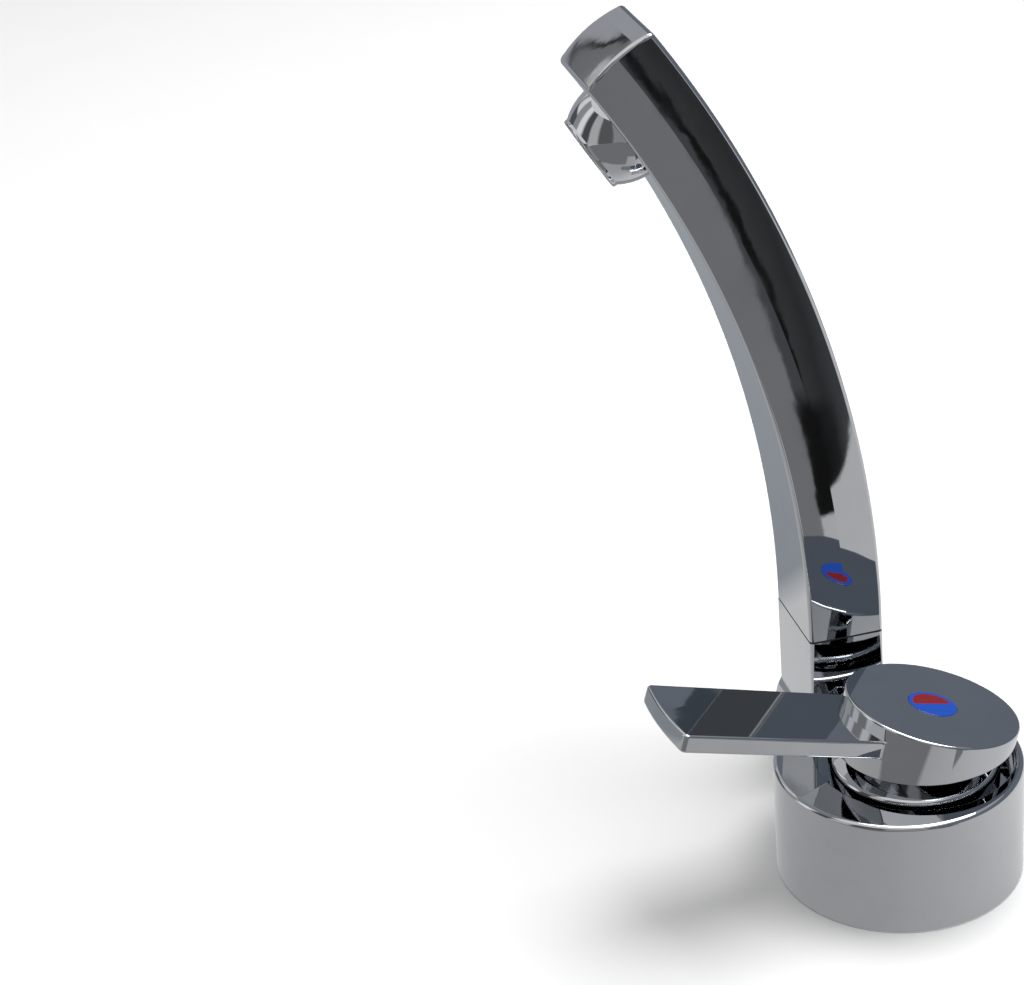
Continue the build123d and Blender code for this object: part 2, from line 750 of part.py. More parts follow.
with BuildPart() as pivot_orings:
    for start in (oring_first, oring_first + oring_pitch):
        with BuildSketch(pivot_plane(start)):
            Circle(spigot_radius)
            Circle(spigot_radius - oring_squeeze_depth, mode=Mode.SUBTRACT)
        extrude(amount=oring_section)
save(pivot_orings.part, "pivot_orings")

with BuildPart() as seam_gasket:
    with BuildSketch(Plane.XY.offset(knuckle_top)):
        with Locations((spout_mid, 0)):
            add(spout_section(gasket_inset))
    extrude(amount=gasket_thickness)
    with BuildSketch(Plane.XY.offset(knuckle_top)):
        with Locations((spout_mid, 0)):
            Circle(tube_radius + press_gap)
        with Locations(*tie_screws):
            Circle(tie_screw_radius + press_gap)
    extrude(amount=gasket_thickness, mode=Mode.SUBTRACT)
save(seam_gasket.part, "seam_gasket")

# Spout: a hollow arc with a crowned end
end_turn = radians(spout_arc_angle)
crown_turn = spout_end_crown / spout_arc_radius
waste_turn = end_turn + 4 * crown_turn
inner_radius = spout_arc_radius - spout_depth / 2
outer_radius = spout_arc_radius + spout_depth / 2
outlet_turn = radians(outlet_angle)
outlet_plane = facing_inward(outlet_turn)
aerator_seat = spout_depth / 2 - aerator_seat_depth


def turn_of(point):
    """The angle of a point round the centre of the spout's arc, from the foot."""
    return atan2(point.Z - spout_foot, spout_arc_radius - point.Y)


def is_long_corner(edge):
    """Whether an edge is one of the four that run along the spout."""
    middle = edge @ 0.5
    at_side = abs(abs(middle.X - spout_mid) - spout_width / 2) < spout_side_crown / 2
    return at_side and 0 < turn_of(middle) < end_turn - crown_turn


with BuildPart() as spout:
    with BuildSketch(Plane.XY.offset(spout_foot)):
        with Locations((spout_mid, 0)):
            add(spout_section(corner_round=0))
    revolve(axis=arc_axis, revolution_arc=degrees(end_turn + 2 * crown_turn))
    with BuildSketch(Plane.YZ):
        with BuildLine():
            crown = ThreePointArc(
                arc_point(inner_radius, end_turn),
                arc_point(spout_arc_radius, end_turn + crown_turn),
                arc_point(outer_radius, end_turn),
            )
            Polyline(
                crown @ 1,
                arc_point(outer_radius + spout_wall, end_turn),
                arc_point(outer_radius + spout_wall, waste_turn),
                arc_point(inner_radius - spout_wall, waste_turn),
                arc_point(inner_radius - spout_wall, end_turn),
                crown @ 0,
            )
        make_face()
    extrude(amount=2 * barrel_end, mode=Mode.SUBTRACT)
    end_edges = spout.edges().filter_by(lambda e: turn_of(e @ 0.5) > end_turn - crown_turn / 4)
    long_edges = spout.edges().filter_by(is_long_corner)
    fillet(end_edges + long_edges, spout_corner_round)
    with BuildSketch(Plane.XY.offset(spout_foot)):
        with Locations((spout_mid, 0)):
            Rectangle(spout_width - 2 * spout_wall, spout_depth - 2 * spout_wall)
    revolve(
        axis=arc_axis,
        revolution_arc=degrees(end_turn - spout_end_wall / spout_arc_radius),
        mode=Mode.SUBTRACT,
    )
    with BuildSketch(Plane.XY.offset(spout_foot)):
        with Locations(*tie_screws):
            Circle(tie_boss_radius)
    extrude(amount=tie_boss_height)
    with BuildSketch(Plane.XY.offset(spout_foot)):
        with Locations(*tie_screws):
            Circle(tie_screw_radius + press_gap)
    extrude(amount=tie_screw_grip + loose_gap, mode=Mode.SUBTRACT)
    with BuildSketch(outlet_plane.offset(aerator_seat)):
        Circle(aerator_face_radius + loose_gap)
    extrude(amount=spout_wall, mode=Mode.SUBTRACT)
    with BuildSketch(outlet_plane):
        Circle(aerator_neck_radius + aerator_hole_gap)
    extrude(amount=spout_depth, mode=Mode.SUBTRACT)
save(spout.part, "spout")

tie_screw_top = spout_foot + tie_screw_grip
with BuildPart() as spout_screws:
    with BuildSketch(Plane.XY.offset(tie_head_seat - tie_head_height)):
        with Locations(*tie_screws):
            Circle(tie_head_radius)
    extrude(amount=tie_head_height)
    with BuildSketch(Plane.XY.offset(tie_head_seat)):
        with Locations(*tie_screws):
            Circle(tie_screw_radius)
    extrude(amount=tie_screw_top - tie_head_seat)
    with BuildSketch(Plane.XY.offset(tie_head_seat - tie_head_height)):
        with Locations(*tie_screws):
            RegularPolygon(tie_socket_radius, 6)
    extrude(amount=tie_socket_depth, mode=Mode.SUBTRACT)
save(spout_screws.part, "spout_screws")

# Elbow inside the spout's end, and the water tube that feeds it
elbow_start = outlet_turn - elbow_behind / spout_arc_radius
elbow_end = outlet_turn + elbow_ahead / spout_arc_radius
tube_end = outlet_turn - tube_stop / spout_arc_radius
elbow_depth = spout_depth - 2 * (spout_wall + insert_gap)

with BuildPart() as outlet_elbow:
    with BuildSketch(across_spout(elbow_start)):
        Rectangle(elbow_width, elbow_depth)
    revolve(axis=arc_axis, revolution_arc=degrees(elbow_end - elbow_start))
    with BuildSketch(across_spout(elbow_start)):
        Circle(tube_radius + press_gap)
    revolve(axis=arc_axis, revolution_arc=degrees(tube_end - elbow_start), mode=Mode.SUBTRACT)
    with BuildSketch(across_spout(tube_end)):
        Circle(tube_bore)
    revolve(axis=arc_axis, revolution_arc=degrees(outlet_turn - tube_end), mode=Mode.SUBTRACT)
    with BuildSketch(outlet_plane):
        Circle(outlet_bore)
    extrude(amount=spout_depth, mode=Mode.SUBTRACT)
    with BuildSketch(outlet_plane.offset(aerator_seat - aerator_neck_length - press_gap)):
        Circle(aerator_neck_radius + press_gap)
    extrude(amount=spout_depth, mode=Mode.SUBTRACT)
save(outlet_elbow.part, "outlet_elbow")

with BuildPart() as water_tube:
    with BuildSketch(Plane.XY.offset(spout_foot)):
        with Locations((spout_mid, 0)):
            Circle(tube_radius)
            Circle(tube_bore, mode=Mode.SUBTRACT)
    revolve(axis=arc_axis, revolution_arc=degrees(tube_end - press_gap / spout_arc_radius))
    with BuildSketch(Plane.XY.offset(spout_foot)):
        with Locations((spout_mid, 0)):
            Circle(tube_radius)
            Circle(tube_bore, mode=Mode.SUBTRACT)
    extrude(amount=-gasket_thickness - tube_socket_depth + press_gap)
save(water_tube.part, "water_tube")

# Aerator: bell-shaped housing, seal and perforated insert
aerator_rim = aerator_seat + aerator_height
cup_floor = aerator_seat + aerator_cup_floor
aerator_profile = Plane(
    origin=outlet_plane.origin, x_dir=outlet_plane.x_dir, z_dir=outlet_plane.y_dir * -1
)
with BuildPart() as aerator_housing:
    with BuildSketch(aerator_profile):
        with BuildLine():
            bell = ThreePointArc(
                (aerator_face_radius, aerator_seat + aerator_rim_lip / 2),
                (aerator_waist_radius, aerator_seat + aerator_height / 2),
                (aerator_rim_radius, aerator_rim - aerator_rim_lip),
            )
            Polyline(
                bell @ 1,
                (aerator_rim_radius, aerator_rim),
                (aerator_cup_radius, aerator_rim),
                (aerator_cup_radius, cup_floor),
                (aerator_neck_bore, cup_floor),
                (aerator_neck_bore, aerator_seat - aerator_neck_length),
                (aerator_neck_radius, aerator_seat - aerator_neck_length),
                (aerator_neck_radius, aerator_seat),
                (aerator_face_radius, aerator_seat),
                bell @ 0,
            )
        make_face()
    revolve(axis=Axis(outlet_plane.origin, outlet_plane.z_dir))
save(aerator_housing.part, "aerator_housing")

seal_top = cup_floor + aerator_seal_thickness
with BuildPart() as aerator_seal:
    with BuildSketch(outlet_plane.offset(cup_floor)):
        Circle(aerator_cup_radius - press_gap)
        Circle(aerator_cup_radius - aerator_seal_width, mode=Mode.SUBTRACT)
    extrude(amount=aerator_seal_thickness)
save(aerator_seal.part, "aerator_seal")

with BuildPart() as aerator_insert:
    with BuildSketch(outlet_plane.offset(seal_top)):
        Circle(aerator_cup_radius - press_gap)
        with HexLocations(
            aerator_hole_pitch / sqrt(3), aerator_hole_rows, aerator_hole_rows, major_radius=True
        ):
            Circle(aerator_hole_radius, mode=Mode.SUBTRACT)
    extrude(amount=aerator_insert_height)
save(aerator_insert.part, "aerator_insert")
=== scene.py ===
# %% [markdown]
# # A fold-down mixer tap in chrome
# This lesson dresses a small kitchen mixer tap. The construction is already there: every piece
# arrives at its real size and place, in metres, and moves with its own body. What is left is the
# look: smooth bright metal skins, their fine waviness, and the studio that they mirror.

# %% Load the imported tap
from math import asin, atan2, cos, degrees, pi, radians, sin, sqrt

import bpy
from mathutils import Matrix, Vector


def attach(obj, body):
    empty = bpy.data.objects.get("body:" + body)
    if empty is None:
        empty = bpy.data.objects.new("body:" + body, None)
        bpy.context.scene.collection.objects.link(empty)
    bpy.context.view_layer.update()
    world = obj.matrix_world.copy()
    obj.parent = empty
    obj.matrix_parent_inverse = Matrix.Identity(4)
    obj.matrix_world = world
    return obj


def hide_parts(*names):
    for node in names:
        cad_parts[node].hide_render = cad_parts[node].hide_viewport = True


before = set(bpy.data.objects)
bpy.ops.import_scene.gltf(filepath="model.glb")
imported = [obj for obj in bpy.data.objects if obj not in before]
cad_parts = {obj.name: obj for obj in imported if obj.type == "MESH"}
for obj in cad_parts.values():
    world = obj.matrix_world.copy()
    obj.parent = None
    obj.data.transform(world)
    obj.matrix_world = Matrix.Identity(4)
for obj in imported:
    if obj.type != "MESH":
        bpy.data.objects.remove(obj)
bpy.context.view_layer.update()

print("pieces", len(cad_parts))

# %% [markdown]
# ## The camera
# The photograph looks down on the tap from the lever's side. Polished metal is nothing but
# mirrored surroundings, so the camera has to stand where the photograph was taken from: a few
# degrees off, and every reflection is another one. The lens is long, which keeps uprights nearly
# upright.

# %% Camera
MM = 0.001
camera_place = Vector((-384.6, 143.9, 297.3)) * MM
camera_heading = radians(259.588)
camera_drop = radians(26.879)
camera_roll = radians(5.489)

camera_data = bpy.data.cameras.new("camera")
camera_data.lens = 84.66
camera_data.sensor_width = 36.0
camera_data.clip_start = 0.01
camera = bpy.data.objects.new("camera", camera_data)
bpy.context.scene.collection.objects.link(camera)
look = Vector((
    -sin(camera_heading) * cos(camera_drop),
    cos(camera_heading) * cos(camera_drop),
    -sin(camera_drop),
))
camera.rotation_mode = "QUATERNION"
level_camera = look.to_track_quat("-Z", "Y")
camera.rotation_quaternion = Matrix.Rotation(camera_roll, 3, look).to_quaternion() @ level_camera
camera.location = camera_place
bpy.context.scene.camera = camera
print("camera", [round(v, 3) for v in camera.location])

# %% [markdown]
# ## Shader maths as expressions
# A material is a graph, and a graph built link by link is hard to read. This small class wraps one
# output socket, so that `0.05 + 0.1 * smudge` adds the Math nodes that it says. Any other node
# comes from `Shader.node`, which sets the node's own settings first and then its inputs.

# %% Socket wrapper
class Value:
    """One number or colour travelling through a material."""

    def __init__(self, shader, socket):
        self.shader = shader
        self.socket = socket

    def math(self, operation, *others):
        return self.shader.node("ShaderNodeMath", {"operation": operation}, [self, *others])

    def __add__(self, other):
        return self.math("ADD", other)

    def __radd__(self, other):
        return self.math("ADD", other)

    def __sub__(self, other):
        return self.math("SUBTRACT", other)

    def __rsub__(self, other):
        return self.shader.node("ShaderNodeMath", {"operation": "SUBTRACT"}, [other, self])

    def __mul__(self, other):
        return self.math("MULTIPLY", other)

    def __rmul__(self, other):
        return self.math("MULTIPLY", other)

    def __truediv__(self, other):
        return self.math("DIVIDE", other)


class Shader:
    """A material or world whose nodes are added by plain calls."""

    def __init__(self, owner):
        owner.use_nodes = True
        self.tree = owner.node_tree
        self.tree.nodes.clear()

    def node(self, kind, settings=None, inputs=None, output=0):
        made = self.tree.nodes.new(kind)
        for name, value in (settings or {}).items():
            if name == "stops":
                set_stops(made.color_ramp, value)
            else:
                setattr(made, name, value)
        pairs = inputs.items() if isinstance(inputs, dict) else enumerate(inputs or [])
        for key, value in pairs:
            if isinstance(value, Value):
                self.tree.links.new(value.socket, made.inputs[key])
            else:
                made.inputs[key].default_value = value
        return Value(self, made.outputs[output]) if len(made.outputs) else made

    def place(self):
        """The point's own place on the piece, in metres."""
        return self.node("ShaderNodeTexCoord", output="Object")

    def noise(self, scale, detail=2.0, roughness=0.5, place=None, distortion=0.0):
        inputs = {"Scale": scale, "Detail": detail, "Roughness": roughness, "Distortion": distortion}
        inputs["Vector"] = place or self.place()
        return self.node("ShaderNodeTexNoise", inputs=inputs, output="Fac")

    def remap(self, value, low, high, to_low=0.0, to_high=1.0):
        inputs = {"Value": value, "From Min": low, "From Max": high, "To Min": to_low, "To Max": to_high}
        return self.node("ShaderNodeMapRange", {"clamp": True}, inputs)

    def mix(self, factor, first, second):
        """A colour between two, by a factor."""
        inputs = {0: factor, 6: first, 7: second}
        return self.node("ShaderNodeMix", {"data_type": "RGBA"}, inputs, output=2)

    def bump(self, height, distance, under=None):
        inputs = {"Height": height, "Distance": distance, "Strength": 1.0}
        if under is not None:
            inputs["Normal"] = under
        return self.node("ShaderNodeBump", inputs=inputs)

    def surface(self, inputs):
        """The finished surface, on a Principled node."""
        shader = self.node("ShaderNodeBsdfPrincipled", inputs=inputs)
        self.node("ShaderNodeOutputMaterial", inputs={"Surface": shader})


def set_stops(ramp, stops):
    """Give a colour ramp these (position, colour) stops."""
    while len(ramp.elements) < len(stops):
        ramp.elements.new(0.5)
    for element, (position, colour) in zip(ramp.elements, stops):
        element.position = position
        element.color = colour


def grey(level, blue=1.0):
    """A neutral colour, or a slightly cool one where blue is above 1."""
    return (level, level * (1 + (blue - 1) * 0.5), level * blue, 1.0)


print("shader helpers ready")

# %% [markdown]
# ## Chrome
# Chrome plate is a smooth mirror with a cool grey cast. Two things keep it from looking like a
# computer's mirror: polishing leaves long soft waves under the plate, which bend the reflections
# a little, and handling leaves a thin film that dulls patches of it.

# %% Chrome material
def chrome_material(name, wave_depth, film):
    """Bright plate with polishing waves this deep, in metres, and this much handling film."""
    material = bpy.data.materials.new(name)
    shader = Shader(material)
    waves = shader.noise(95.0, detail=1.5, distortion=0.4)
    peel = shader.noise(620.0, detail=1.0)
    smudges = shader.remap(shader.noise(60.0, detail=5.0, roughness=0.6), 0.45, 0.75)
    normal = shader.bump(waves + 0.05 * peel, wave_depth)
    shader.surface({
        "Base Color": shader.mix(smudges, (0.560, 0.575, 0.595, 1.0), (0.520, 0.535, 0.560, 1.0)),
        "Metallic": 1.0,
        "Roughness": 0.025 + film * smudges,
        "Normal": normal,
    })
    return material


chrome = chrome_material("polished_chrome", 0.00002, 0.04)
print("material", chrome.name)

# %% [markdown]
# ## The other finishes
# Under the plate and below the worktop are brass, steel, rubber, moulded plastic and ceramic.
# Little of it shows, but each has its own grain, so that the tap can be taken apart.

# %% Metals that are only machined
def machined_metal(name, light, dark, grain_scale, rough):
    """Machined metal with a fine grain drawn out along its height and a slightly uneven colour."""
    material = bpy.data.materials.new(name)
    shader = Shader(material)
    clouds = shader.noise(130.0, detail=4.0)
    squeezed = {"Vector": shader.place(), "Scale": (40.0, 40.0, 1.0)}
    drawn_out = shader.node("ShaderNodeMapping", inputs=squeezed)
    grain = shader.noise(grain_scale, detail=3.0, place=drawn_out)
    shader.surface({
        "Base Color": shader.mix(clouds, light, dark),
        "Metallic": 1.0,
        "Roughness": rough + 0.12 * grain,
        "Normal": shader.bump(grain, 0.00003),
    })
    return material


brass = machined_metal("machined_brass", (0.80, 0.60, 0.30, 1.0), (0.68, 0.49, 0.23, 1.0), 900.0, 0.22)
steel = machined_metal("stainless_steel", (0.62, 0.61, 0.59, 1.0), (0.50, 0.49, 0.48, 1.0), 1200.0, 0.26)
print("materials", brass.name, steel.name)

# %% Rubber, plastic and ceramic
def moulded(name, light, dark, rough, grain_scale, grain_depth):
    """A dull or satin non-metal with a fine grain and slightly uneven colour."""
    material = bpy.data.materials.new(name)
    shader = Shader(material)
    clouds = shader.noise(90.0, detail=3.0)
    grain = shader.noise(grain_scale, detail=2.0)
    shader.surface({
        "Base Color": shader.mix(clouds, light, dark),
        "Roughness": rough + 0.1 * grain,
        "Normal": shader.bump(grain, grain_depth),
    })
    return material


rubber = moulded("black_rubber", grey(0.018), grey(0.03), 0.55, 2500.0, 0.00004)
plastic = moulded("pale_plastic", grey(0.62), grey(0.55), 0.32, 1800.0, 0.00002)
warm_white = (0.82, 0.76, 0.70, 1.0)
warm_grey = (0.75, 0.69, 0.64, 1.0)
ceramic = moulded("fired_ceramic", warm_white, warm_grey, 0.18, 3000.0, 0.000008)
blue = moulded("cold_blue", (0.003, 0.062, 0.43, 1.0), (0.003, 0.054, 0.38, 1.0), 0.12, 2200.0, 0.00001)
red = moulded("hot_red", (0.22, 0.002, 0.003, 1.0), (0.19, 0.002, 0.002, 1.0), 0.14, 2200.0, 0.00001)
print("materials", rubber.name, plastic.name, ceramic.name, blue.name, red.name)

# %% [markdown]
# ## Which piece has which finish
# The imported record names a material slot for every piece. One table turns those names into the
# finishes above.

# %% Assign finishes
finishes = {
    "chrome": chrome,
    "brass": brass,
    "steel": steel,
    "rubber": rubber,
    "plastic": plastic,
    "ceramic": ceramic,
    "blue": blue,
    "red": red,
}
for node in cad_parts.values():
    slot_name = node.data.materials[0].name.split(".")[0]
    node.data.materials[0] = finishes[slot_name]
print("finishes given to", len(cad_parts), "pieces")

# %% [markdown]
# ## Modelling helpers
# Every piece below starts from a primitive and is shaped with the same operators that a hand would
# use. An operator acts on whatever is selected, so the helpers first select exactly one piece, or
# the vertices, edges or faces that pass a test on their place. Places are given in millimetres.

# %% Selecting by place
def take(piece):
    """Make one piece the only selected one."""
    bpy.ops.object.select_all(action="DESELECT")
    piece.select_set(True)
    bpy.context.view_layer.objects.active = piece


def choose(piece, kind, test):
    """Open a piece for editing with only the parts selected whose middle passes the test."""
    take(piece)
    mesh = piece.data
    for group in (mesh.vertices, mesh.edges, mesh.polygons):
        group.foreach_set("select", [False] * len(group))
    points = [vertex.co / MM for vertex in mesh.vertices]
    if kind == "VERT":
        middles = points
        group = mesh.vertices
    elif kind == "EDGE":
        middles = [(points[a] + points[b]) / 2 for a, b in (edge.vertices for edge in mesh.edges)]
        group = mesh.edges
    else:
        middles = [face.center / MM for face in mesh.polygons]
        group = mesh.polygons
    group.foreach_set("select", [bool(test(middle)) for middle in middles])
    bpy.context.tool_settings.mesh_select_mode = (kind == "VERT", kind == "EDGE", kind == "FACE")
    bpy.ops.object.mode_set(mode="EDIT")


def leave():
    bpy.ops.object.mode_set(mode="OBJECT")


def tidy(piece):
    """Merge doubled vertices and turn every face outwards."""
    choose(piece, "VERT", lambda point: True)
    bpy.ops.mesh.remove_doubles(threshold=0.001 * MM)
    bpy.ops.mesh.normals_make_consistent(inside=False)
    leave()


# %% Cutting and joining
def combine(piece, other, operation):
    """Cut another shape from a piece, join it on, or keep only what they share."""
    modifier = piece.modifiers.new(operation.lower(), "BOOLEAN")
    modifier.operation = operation
    modifier.object = other
    modifier.solver = "EXACT"
    take(piece)
    bpy.ops.object.modifier_apply(modifier=modifier.name)
    bpy.data.objects.remove(other)


def round_bar(radius, foot, direction, length, sides=128):
    """A round bar that starts at a foot point and runs along a direction."""
    bpy.ops.object.select_all(action="DESELECT")
    bpy.ops.mesh.primitive_cylinder_add(vertices=sides, radius=radius * MM, depth=length * MM)
    bar = bpy.context.object
    bar.rotation_mode = "QUATERNION"
    bar.rotation_quaternion = Vector(direction).to_track_quat("Z", "Y")
    bar.location = (Vector(foot) + Vector(direction).normalized() * length / 2) * MM
    bpy.ops.object.transform_apply(location=True, rotation=True, scale=True)
    return bar


def drill(piece, radius, foot, direction, length, sides=128):
    combine(piece, round_bar(radius, foot, direction, length, sides), "DIFFERENCE")


# %% Lines, arcs and turned shapes
def wire(points):
    """A closed wire through these points, drawn by extruding one vertex from place to place."""
    bpy.ops.object.select_all(action="DESELECT")
    bpy.ops.mesh.primitive_plane_add(size=MM)
    drawn = bpy.context.object
    bpy.ops.object.mode_set(mode="EDIT")
    bpy.context.tool_settings.mesh_select_mode = (True, False, False)
    bpy.ops.mesh.select_all(action="SELECT")
    bpy.ops.mesh.merge(type="CENTER")
    bpy.ops.transform.translate(value=Vector(points[0]) * MM)
    for here, there in zip(points, points[1:]):
        step = (Vector(there) - Vector(here)) * MM
        bpy.ops.mesh.extrude_region_move(TRANSFORM_OT_translate={"value": step})
    leave()
    ends = [Vector(points[0]), Vector(points[-1])]
    choose(drawn, "VERT", lambda point: min((point - end).length for end in ends) < 0.001)
    bpy.ops.mesh.edge_face_add()
    leave()
    return drawn


def round_corners(drawn, corners, radius, segments=6):
    """Round the wire at these corner points."""
    choose(drawn, "VERT", lambda point: min((point - Vector(c)).length for c in corners) < 0.001)
    bpy.ops.mesh.bevel(offset=radius * MM, segments=segments, affect="VERTICES")
    leave()


def arc_points(centre, radius, start, end, steps):
    """Points (u, w) along an arc, by angles in degrees."""
    turns = [radians(start + (end - start) * step / steps) for step in range(steps + 1)]
    return [(centre[0] + radius * cos(turn), centre[1] + radius * sin(turn)) for turn in turns]


def spin_round(drawn, centre, axis, steps=128, angle=2 * pi):
    """Turn a wire about an axis into a skin."""
    choose(drawn, "VERT", lambda point: True)
    bpy.ops.mesh.spin(steps=steps, angle=angle, center=Vector(centre) * MM, axis=axis)
    leave()
    return drawn


def turned(profile, place, corners=(), steps=128):
    """A turned piece: a closed profile (radius, height) spun about its own axis, then placed."""
    drawn = wire([(r, 0, h) for r, h in profile])
    for (r, h), size in corners:
        round_corners(drawn, [(r, 0, h)], size)
    spin_round(drawn, (0, 0, 0), (0, 0, 1), steps)
    tidy(drawn)
    drawn.matrix_world = place
    take(drawn)
    bpy.ops.object.transform_apply(location=True, rotation=True, scale=True)
    return drawn


# %% Finishing a piece
def finish_skin(piece, name, material, body, *nodes, crease=30.0):
    """Name a piece, shade it, give it its finish and let it stand for its nodes on their body."""
    tidy(piece)
    take(piece)
    bpy.ops.object.shade_smooth_by_angle(angle=radians(crease))
    even = piece.modifiers.new("even", "WEIGHTED_NORMAL")
    even.keep_sharp = True
    bpy.ops.object.modifier_apply(modifier=even.name)
    piece.name = name
    piece.data.name = name
    piece.data.materials.clear()
    piece.data.materials.append(material)
    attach(piece, body)
    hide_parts(*nodes)
    print(name, "faces", len(piece.data.polygons))
    return piece

# %% [markdown]
# ## The round base
# The base is a squat drum with a softly broken upper edge. Its well doesn't sit in the middle: it
# is moved back, so that the rim is broad at the front and thin at the back. A boolean could sink
# the well, but an inset of the top face that is then slid backwards leaves even rings of faces, and
# even rings mirror evenly. The bores for the pivot and the shank are drilled afterwards.

# %% Base
base_radius = 25.0
base_height = 25.0
rim_bevel = 1.0
well_back = -3.6
well_radius = 20.0
well_floor = 19.2
seat_radius = 14.5
seat_floor = 16.6
chamber_radius = 12.5
chamber_floor = 6.0


def at_height(point, height):
    return abs(point.z - height) < 0.01


def on_well_rim(point):
    from_axis = (point.xy - Vector((0, well_back))).length
    return at_height(point, base_height) and from_axis < well_radius + 0.1


def step_in(piece, height, radius_now, radius_next, slide=0.0):
    """Inset the flat face at this height and leave its inner part selected."""
    choose(piece, "FACE", lambda point: at_height(point, height) and point.xy.length < 6)
    bpy.ops.mesh.inset(thickness=(radius_now - radius_next) * MM)
    bpy.ops.transform.translate(value=(0, slide * MM, 0))


def sink(depth):
    """Push the selected face down and close the piece again."""
    bpy.ops.mesh.extrude_region_move(TRANSFORM_OT_translate={"value": (0, 0, -depth * MM)})
    leave()


base = round_bar(base_radius, (0, 0, 0), (0, 0, 1), base_height, sides=192)
choose(base, "EDGE", lambda point: at_height(point, base_height))
bpy.ops.mesh.bevel(offset=rim_bevel * MM, segments=6)
leave()
step_in(base, base_height, base_radius - rim_bevel, well_radius, slide=well_back)
sink(base_height - well_floor)
choose(base, "EDGE", on_well_rim)
bpy.ops.mesh.bevel(offset=0.35 * MM, segments=4)
leave()
step_in(base, well_floor, well_radius, seat_radius)
sink(well_floor - seat_floor)
step_in(base, seat_floor, seat_radius, chamber_radius)
sink(seat_floor - chamber_floor)
print("base rings", len(base.data.polygons))

# %% Bores of the base
pivot_height = 11.6
inlet_side = 5.0
inlet_back = -2.0
seal_groove = [(14.35, -1), (16.95, -1), (16.95, 2.0), (14.35, 2.0)]

# The pivot's bores for the barrel, the spigot and the water, each by radius, start, length and sides
pivot_bores = ((9.55, 22.0, 6.0, 192), (6.55, 15.15, 10.0, 128), (3.2, 8.0, 10.0, 64))
for radius, start, length, sides in pivot_bores:
    drill(base, radius, (start, 0, pivot_height), (1, 0, 0), length, sides)

# From below: the shank's recess, the two water ports, the lock screw's hole and the seal's groove
drill(base, 13.05, (0, 0, -2.0), (0, 0, 1), 6.5, sides=192)
for side in (-inlet_side, inlet_side):
    drill(base, 2.8, (side, inlet_back, 3.0), (0, 0, 1), 5.0, sides=64)
drill(base, 1.3, (20.4, 0, -1.0), (0, 0, 1), 6.1, sides=48)
combine(base, turned(seal_groove, Matrix.Identity(4)), "DIFFERENCE")
finish_skin(base, "base_skin", chrome, "base", "base_body")

# %% [markdown]
# ## The cover ring
# Under the lever sits a bright ring that hides the cartridge. It is a turned piece, so its section
# is drawn once and spun: a straight wall, a rounded shoulder, a slope and a small broken edge at
# the hole.

# %% Cover ring
ring_shoulder = (17.0, 24.3)
ring_lip = (11.4, 26.6)
ring_section = [
    (15.6, well_floor), (17.0, well_floor), ring_shoulder, ring_lip, (11.4, 25.2), (15.6, 23.6),
]
ring_place = Matrix.Translation((0, well_back * MM, 0))
ring = turned(ring_section, ring_place, [(ring_shoulder, 0.94), (ring_lip, 0.3)], steps=192)
finish_skin(ring, "cover_ring_skin", chrome, "base", "cover_ring")

# %% [markdown]
# ## The lever
# The lever is one casting: a disc-topped head that leans back, cut level above the base, and a
# flat blade with a curved tip. The head starts as a cylinder and is bisected. The blade's outline
# flares into the head, as a casting's corner does, so it is drawn as a wire and extruded.

# %% Where the lever stands
lever_pivot = Vector((0, well_back, 20.4))
lever_yaw = radians(5.2)
lever_lean = radians(15.4)
lever_side = Vector((cos(lever_yaw), sin(lever_yaw), 0))
lever_heading = Vector((-sin(lever_yaw), cos(lever_yaw), 0))
lever_up = lever_heading * -sin(lever_lean) + Vector((0, 0, cos(lever_lean)))
lever_along = lever_up.cross(lever_side)


def stand(side, along, up, origin):
    """The matrix that stands a piece on three axes at a point in millimetres."""
    turn = Matrix((side, along, up)).transposed().to_4x4()
    return Matrix.Translation(Vector(origin) * MM) @ turn


def place_on(piece, matrix):
    piece.matrix_world = matrix @ piece.matrix_world
    take(piece)
    bpy.ops.object.transform_apply(location=True, rotation=True, scale=True)


lever_frame = stand(lever_side, lever_along, lever_up, lever_pivot)
print("lever leans", round(degrees(lever_up.angle(Vector((0, 0, 1)))), 1), "degrees")

# %% Head of the lever
head_radius = 17.7
disc_top = 15.5
head_below = 4
head_cut = 28.5
head = round_bar(head_radius, (0, 0, -head_below), (0, 0, 1), disc_top + head_below, sides=192)
choose(head, "EDGE", lambda point: at_height(point, disc_top))
bpy.ops.mesh.bevel(offset=0.5 * MM, segments=5)
leave()
place_on(head, lever_frame)
choose(head, "VERT", lambda point: True)
level = {"plane_co": (0, 0, head_cut * MM), "plane_no": (0, 0, 1)}
bpy.ops.mesh.bisect(**level, clear_inner=True, use_fill=True)
leave()
print("head", len(head.data.polygons))

# %% Blade of the lever
rise = radians(2.6)
blade_drop = 3.73
tip_reach = 58.9
blade_along = lever_along * cos(rise) + lever_up * sin(rise)
blade_up = lever_side.cross(blade_along)
blade_frame = stand(lever_side, blade_along, blade_up, lever_pivot + lever_up * (disc_top - blade_drop))
tip = tip_reach / cos(rise)
flare = 1.5
root = 9.95
tip_half = 10.3
blade_thick = 3.8
flare_y = sqrt((head_radius + flare) ** 2 - (root + flare) ** 2)
flare_end = degrees(atan2(flare_y, root + flare)) + 180
right_flare = arc_points((root + flare, flare_y), flare, flare_end, 180, 5)
tip_turn = degrees(asin(tip_half / tip))
tip_arc = arc_points((0, 0), tip, 90 - tip_turn, 90 + tip_turn, 12)
right = [(6.0, 4.0), *right_flare]
outline = right + tip_arc + [(-u, w) for u, w in reversed(right)]


